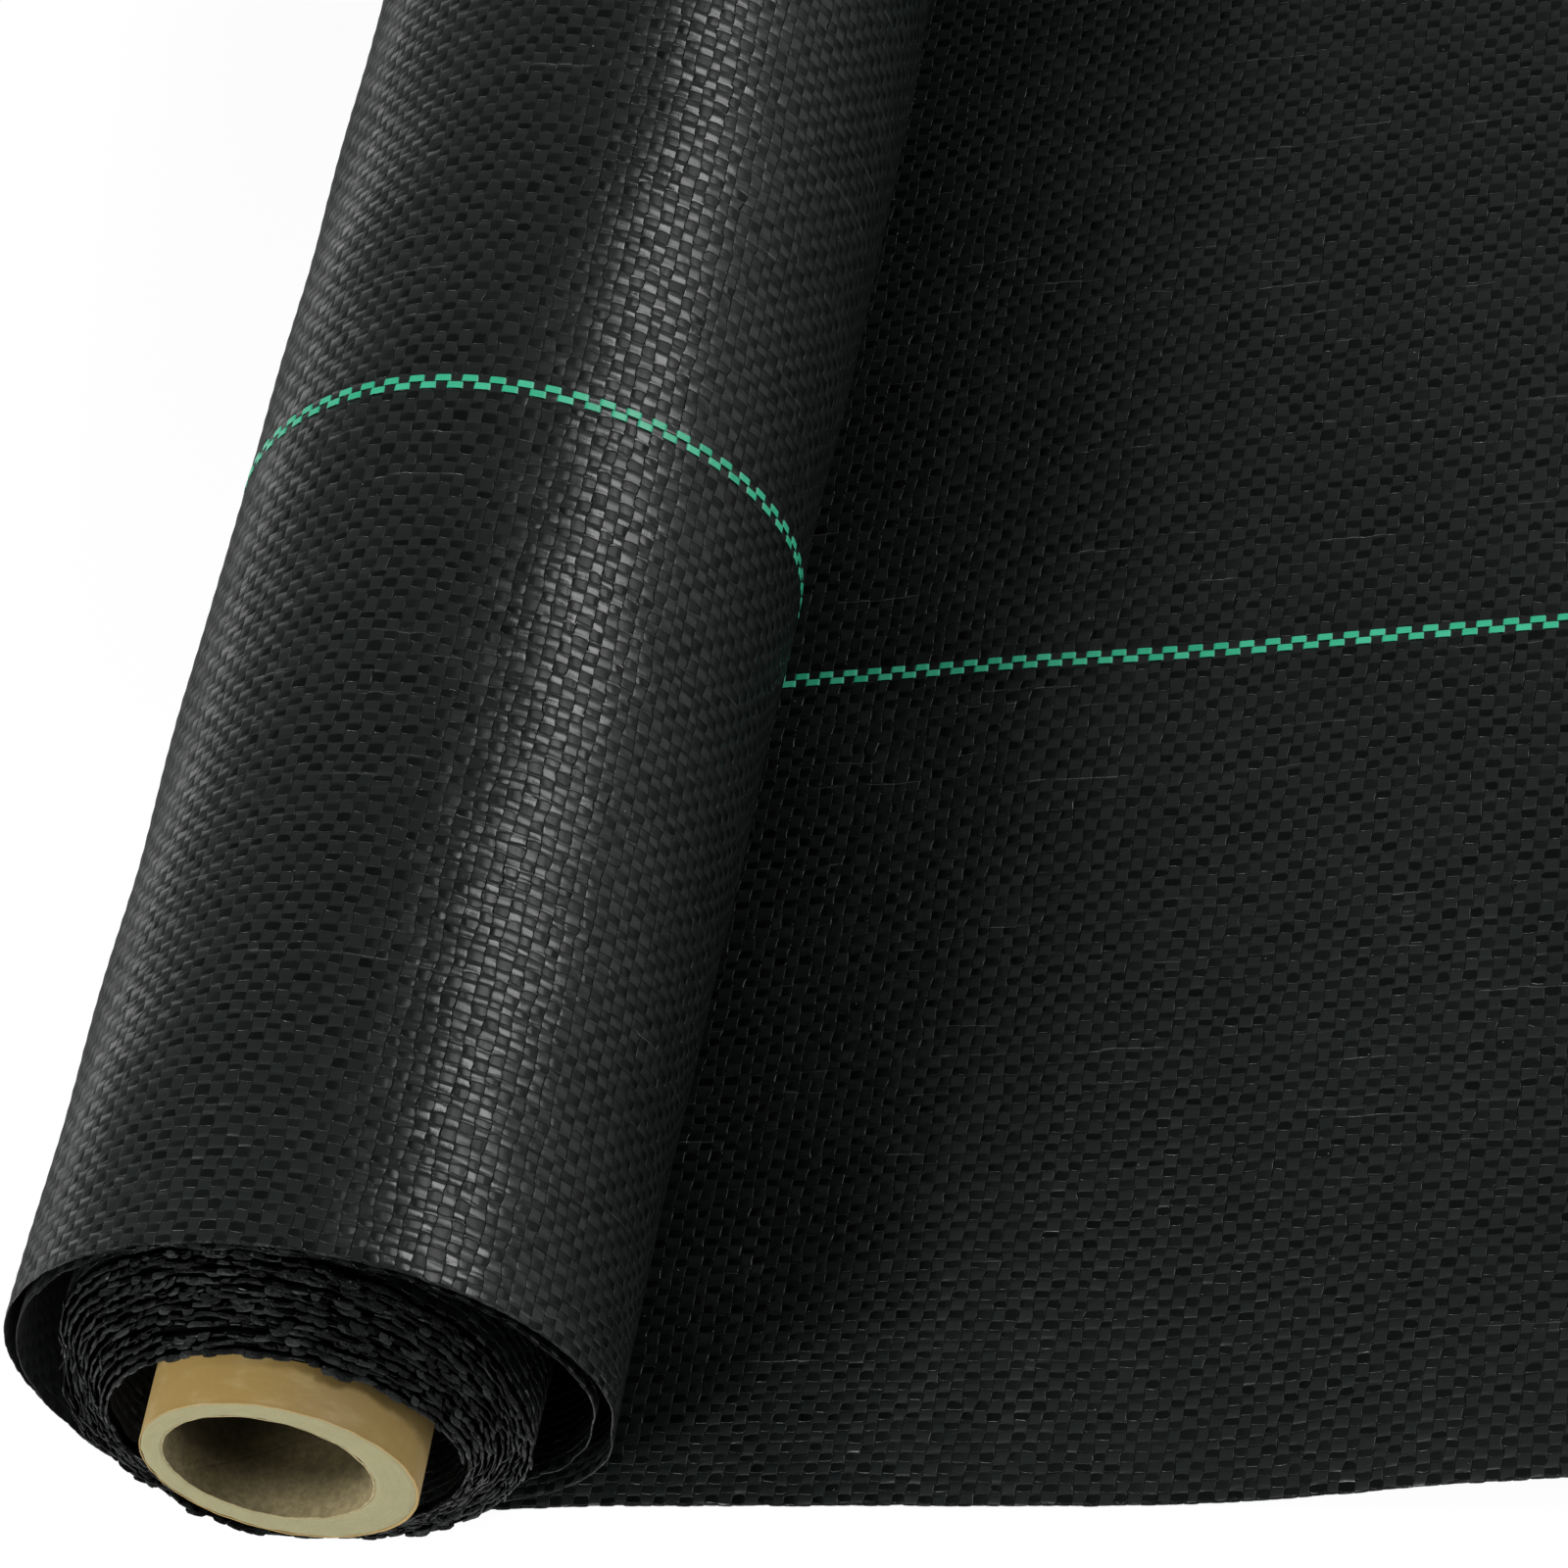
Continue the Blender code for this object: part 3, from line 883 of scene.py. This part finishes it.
def tapeEndMaterial():
    p = Paint("tapeEnds")
    x, y, z = p.parts(p.add("TexCoord", None, (), 3))
    streak = p.noise(p.vector(x * 90, y * 3800, z * 90), 1.0, 2.0)
    colour = p.blendColour(streak.ramp(0.35, 0.7), fabricLook["warpTape"], fabricLook["worn"])
    return p.set(colour=colour, roughness=fabricLook["warpRoughness"] + streak * 0.1,
                 normal=p.bump(streak, 0.04 * mm), specular=fabricLook["specular"])


# Where one piece of the cloth ends and the next one starts, in turns and in metres
sections = {
    "looseTurn": 12.55,
    "greenTurn": 12.45,
    "seamPastLanding": 22 * mm,
    "greenShort": 1 * mm,
}


def dressCloth():
    fabric, green, loops = weaveMaterial(), greenMaterial(), selvedgeMaterial()
    looseStart, greenStart = wayAtTurn(sections["looseTurn"]), wayAtTurn(sections["greenTurn"])
    greenEnd = clothEnd - sections["greenShort"]
    seam = tailStart + sections["seamPastLanding"]
    last = clothEnd - cutEnd["shellShort"]
    pack = clothShell("woundPack", cellRows(0, looseStart), packColumns(), fabric)
    outer = clothShell("outerTurn", cellRows(looseStart, seam), cellColumns(), fabric)
    sheet = clothShell("freeStretch", cellRows(seam, last), cellColumns(), fabric)
    rollGreen = greenTapes("greenLinesOnRoll", greenStart, seam, 1, green)
    sheetGreen = greenTapes("greenLinesOnSheet", seam, greenEnd, -1, green)
    rollLoops = selvedgeLoops("rollSelvedges", 0, seam, loops)
    sheetLoops = selvedgeLoops("sheetSelvedges", seam, last, loops)
    ends = looseWarps("cutWarpEnds", last, tapeEndMaterial())
    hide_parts("wound_fabric")
    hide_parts("free_sheet")
    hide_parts(*[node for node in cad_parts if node.startswith("roll_marker")])
    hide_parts(*[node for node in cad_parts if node.startswith("sheet_marker")])
    for piece in (pack, outer, rollGreen, rollLoops):
        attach(piece, "roll")
    for piece in (sheet, sheetGreen, sheetLoops, ends):
        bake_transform(piece)
    last - seam
    print("cloth dressed, faces:", [(piece.name, len(piece.data.polygons)) for piece in
                                    (pack, outer, sheet, rollLoops, sheetLoops)])


# The cardboard core

core = {
    "outer": 33.3 * mm,
    "inner": 25.0 * mm,
    "plyThickness": 0.5 * mm,
    "wallSetBack": 0.03 * mm,
    "liningSetBack": 0.12 * mm,
    "sides": 144,
    "ringsAlong": 60,
    "rimSoftness": 0.35 * mm,
    "rimSteps": 12,
    "rimUnevenness": 0.10 * mm,
    "thinWall": 2 * mm,
    "plySoftness": 0.15 * mm,
    "thinSteps": 4,
    "offCentre": (2.1 * mm, -1.7 * mm),
    "offCentreReach": 150 * mm,
}


def turnedPiece(name, innerRadius, outerRadius, near, far, material, seed):
    # Its outline runs over the near rim, along the outside, over the far rim and back in the bore
    c = core
    wall = outerRadius - innerRadius
    thin = wall < c["thinWall"]
    soft = (c["plySoftness"] if thin else c["rimSoftness"]) * 0.6
    steps = c["thinSteps"] if thin else c["rimSteps"]
    over = np.arange(steps + 1) / steps
    along = np.arange(1, c["ringsAlong"]) / c["ringsAlong"]
    inner, outer = np.full(len(along), innerRadius), np.full(len(along), outerRadius)
    nearRim = np.stack([np.full(steps + 1, near), innerRadius + wall * over], axis=1)
    farRim = np.stack([np.full(steps + 1, far), outerRadius - wall * over], axis=1)
    nearRim[[0, -1], 0] += soft
    farRim[[0, -1], 0] -= soft
    outside = np.stack([near + (far - near) * along, outer], axis=1)
    inside = np.stack([far - (far - near) * along, inner], axis=1)
    profile = np.concatenate([nearRim, outside, farRim, inside])
    angles = np.linspace(0, 2 * math.pi, c["sides"], endpoint=False)
    ring, turn = np.meshgrid(np.arange(len(profile)), angles, indexing="ij")
    y, radius = profile[ring, 0], profile[ring, 1]
    ending = np.where(np.abs(y - near) < 1 * mm, -1, np.where(np.abs(y - far) < 1 * mm, 1, 0))
    ripple = swell(np.cos(turn) * radius * 3, np.sin(turn) * radius * 3 + ending, seed, 9 * mm, 40 * mm)
    y = y + c["rimUnevenness"] * ripple * np.abs(ending)
    # Near the end that stands out the wall is thicker at the lower right
    thick = (radius - c["inner"]) / (c["outer"] - c["inner"])
    thick = thick * np.exp(-(y - near) / c["offCentreReach"])
    x = axisX + radius * np.cos(turn) + thick * c["offCentre"][0]
    z = axisZ + radius * np.sin(turn) + thick * c["offCentre"][1]
    points = np.stack([x, y, z], axis=-1)
    index = np.arange(ring.size).reshape(ring.shape)
    nextRing, nextSide = np.roll(index, -1, axis=0), np.roll(index, -1, axis=1)
    faces = np.stack([index, nextRing, np.roll(nextRing, -1, axis=1), nextSide], axis=-1)
    return meshObject(name, points.reshape(-1, 3), faces.reshape(-1, 4), None, material, 40)


def coreFields(p):
    here = p.add("TexCoord", None, (), 3)
    moved = p.add("VectorMath", {"operation": "SUBTRACT"}, [here, (axisX, boardLow.y, axisZ)])
    x, y, z = p.parts(moved)
    angle = p.add("Math", {"operation": "ARCTAN2"}, [z, x])
    radius = (x * x + z * z).math("SQRT")
    return moved, y, angle, radius


coreLook = {
    "kraft": (0.248, 0.166, 0.048),
    "kraftDark": (0.184, 0.115, 0.030),
    "kraftWorn": (0.284, 0.213, 0.093),
    "kraftStain": (0.150, 0.090, 0.026),
    "board": (0.215, 0.199, 0.111),
    "boardDark": (0.132, 0.119, 0.063),
    # bore and boreDark are the bore paper painted in shade deep inside the tube; the mouth colours are
    # the paper near its ends
    "bore": (0.040, 0.031, 0.011),
    "boreDark": (0.020, 0.015, 0.005),
    "boreMouth": (0.240, 0.196, 0.104),
    "boreMouthDark": (0.145, 0.116, 0.058),
    "mouthDepth": 14 * mm,
    "spiralPitch": 105 * mm,
}


def kraftMaterial():
    p = Paint("kraftPaper")
    look = coreLook
    moved, y, angle, _ = coreFields(p)
    around = angle * core["outer"]
    fibres = p.noise(p.vector(y * 300, around * 900), 1.0, 4.0, 0.65)
    clouds = p.noise(moved, 60, 3.0)
    spiral = (y / look["spiralPitch"] + angle / (2 * math.pi)).part()
    seam = abs(spiral - 0.5).ramp(0.0, 0.006, 1, 0)
    tone = fibres * 0.5 + clouds * 0.6 - 0.05
    scuff = p.noise(p.vector(y * 240, around * 85, 4.0), 1.0, 5.0, 0.6).ramp(0.46, 0.70)
    stain = p.noise(p.vector(y * 260, around * 60, 8.0), 1.0, 3.0, 0.6).ramp(0.58, 0.76)
    rim = (y.math("MINIMUM", boardHigh.y - boardLow.y - y)).ramp(0.2 * mm, 1.4 * mm, 1, 0)
    colour = p.blendColour(tone, look["kraftDark"], look["kraft"])
    colour = p.blendColour(scuff * 0.55, colour, look["kraftWorn"])
    colour = p.blendColour(stain * 0.45, colour, look["kraftStain"])
    colour = p.blendColour(rim * (0.2 + clouds * 0.6), colour, look["kraftDark"])
    colour = p.blendColour(seam * 0.5, colour, look["kraftDark"])
    height = fibres * 0.5 - seam
    return p.set(colour=colour, roughness=0.55 + clouds * 0.2, normal=p.bump(height, 0.06 * mm),
                 specular=0.4)


def boardMaterial():
    p = Paint("coreBoard")
    look = coreLook
    moved, _, angle, radius = coreFields(p)
    layers = p.noise(p.vector(radius * 2600, angle * 2.5), 1.0, 2.0)
    grain = p.noise(moved, 900, 4.0, 0.7)
    smudge = p.noise(moved, 90, 2.0)
    tone = layers * 0.35 + grain * 0.45 + smudge * 0.35 - 0.1
    colour = p.blendColour(tone, look["boardDark"], look["board"])
    return p.set(colour=colour, roughness=0.9, normal=p.bump(grain + layers * 0.5, 0.12 * mm),
                 specular=0.2)


def boreMaterial():
    p = Paint("borePaper")
    look = coreLook
    moved, y, angle, _ = coreFields(p)
    fibres = p.noise(moved, 500, 5.0, 0.7)
    spiral = (y / look["spiralPitch"] - angle / (2 * math.pi)).part()
    seam = abs(spiral - 0.5).ramp(0.0, 0.008, 0.4, 0)
    # Painted shade: beyond the mouth the bore paper is painted much darker, as the shade inside the
    # tube
    inside = y.math("MINIMUM", boardHigh.y - boardLow.y - y).ramp(0, look["mouthDepth"])
    tone = fibres.ramp(0.3, 0.75)
    colour = p.blendColour(inside, p.blendColour(tone, look["boreMouthDark"], look["boreMouth"]),
                           p.blendColour(tone, look["boreDark"], look["bore"]))
    return p.set(colour=colour, roughness=0.92, normal=p.bump(fibres - seam, 0.15 * mm), specular=0.2)


def dressCore():
    c = core
    near, far = boardLow.y, boardHigh.y
    kraft, board, bore = kraftMaterial(), boardMaterial(), boreMaterial()
    wrap = turnedPiece("kraftWrap", c["outer"] - c["plyThickness"], c["outer"], near, far, kraft, 31)
    wall = turnedPiece("boardWall", c["inner"] + c["plyThickness"], c["outer"] - c["plyThickness"],
                       near + c["wallSetBack"], far - c["wallSetBack"], board, 32)
    lining = turnedPiece("boreLining", c["inner"], c["inner"] + c["plyThickness"],
                         near + c["liningSetBack"], far - c["liningSetBack"], bore, 33)
    for piece, node, slot in ((wrap, "core_outer_ply", "kraft_ply"), (wall, "core_body", "core_board"),
                              (lining, "core_inner_ply", "inner_ply")):
        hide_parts(node)
        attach(piece, "core")
    print("core dressed")


def layFloor():
    # The lamps light the floor, and it shows nearly white to the eye
    p = Paint("paleFloor")
    mottle = p.noise(p.add("TexCoord", None, (), 3), 3.0)
    mottled = [value * 0.985 for value in studio["floorColour"]]
    colour = p.blendColour(mottle, studio["floorColour"], mottled)
    p.set(colour=colour, roughness=0.9, specular=0.1)
    path = p.add("LightPath").socket.node.outputs
    kinds = ("Camera", "Glossy", "Transmission")
    camera, glossy, through = (Wire(p, path[f"Is {kind} Ray"]) for kind in kinds)
    share = (camera + glossy + through).math("MINIMUM", 1.0) * studio["floorGlow"]
    glow = p.add("Emission", None, {"Strength": 1.0})
    both = p.add("MixShader", None, [share, Wire(p, p.shader.outputs[0]), glow])
    p.feed(p.tree.nodes["Material Output"].inputs["Surface"], both)
    half = studio["floorSize"] / 2
    corners = np.array([(-half, -half, 0), (half, -half, 0), (half, half, 0), (-half, half, 0)], float)
    floor = meshObject("studioFloor", corners, np.array([[0, 1, 2, 3]]), None, p.material)


placeCamera()
lightStudio()
layFloor()
dressCore()
dressCloth()
